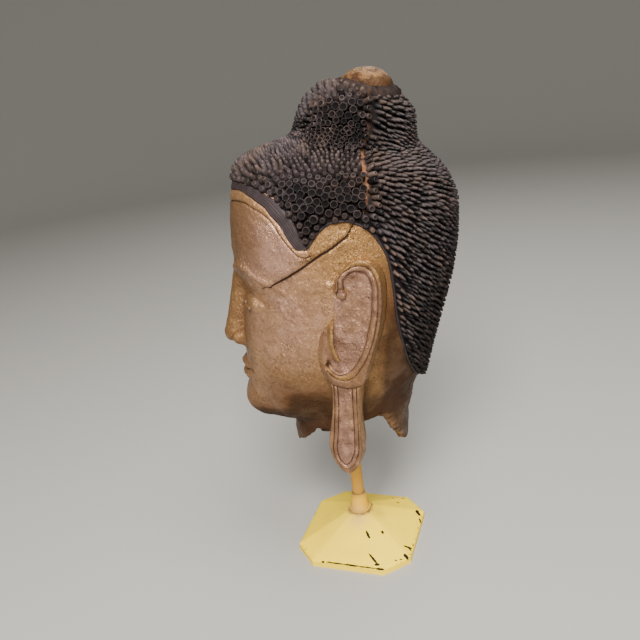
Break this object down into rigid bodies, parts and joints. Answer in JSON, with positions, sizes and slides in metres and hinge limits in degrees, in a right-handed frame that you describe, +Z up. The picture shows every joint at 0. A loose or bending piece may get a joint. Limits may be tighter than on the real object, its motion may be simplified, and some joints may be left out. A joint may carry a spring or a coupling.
{
  "type": "lacquer buddha head on a stand",
  "caption": "Hollow-necked lacquer Buddha head with spiked hair, crown bump and long pendant ears, held up by a rod in a low eight-sided painted stand.",
  "frame": {"origin": "centre of the stand plate's underside, on the axis of the rod, where it rests on the table", "axes": "+Z up along the rod; -Y the way the face looks; +X to the figure's left"},
  "size_m": [0.1966, 0.2301, 0.4767],
  "materials": {
    "gilt_lacquer": "worn satin gilt lacquer, brown with an ochre and mauve sheen",
    "hair_lacquer": "dark brown to black lacquer, dusty on the upper faces",
    "yellow_paint": "satin pale yellow paint with dark chips",
    "rod_paint": "satin ochre yellow paint"
  },
  "bodies": {
    "root": {"head": "gilt_lacquer", "stand_plate": "yellow_paint", "stand_socket": "yellow_paint", "stand_rod": "rod_paint"}
  },
  "joints": []
}
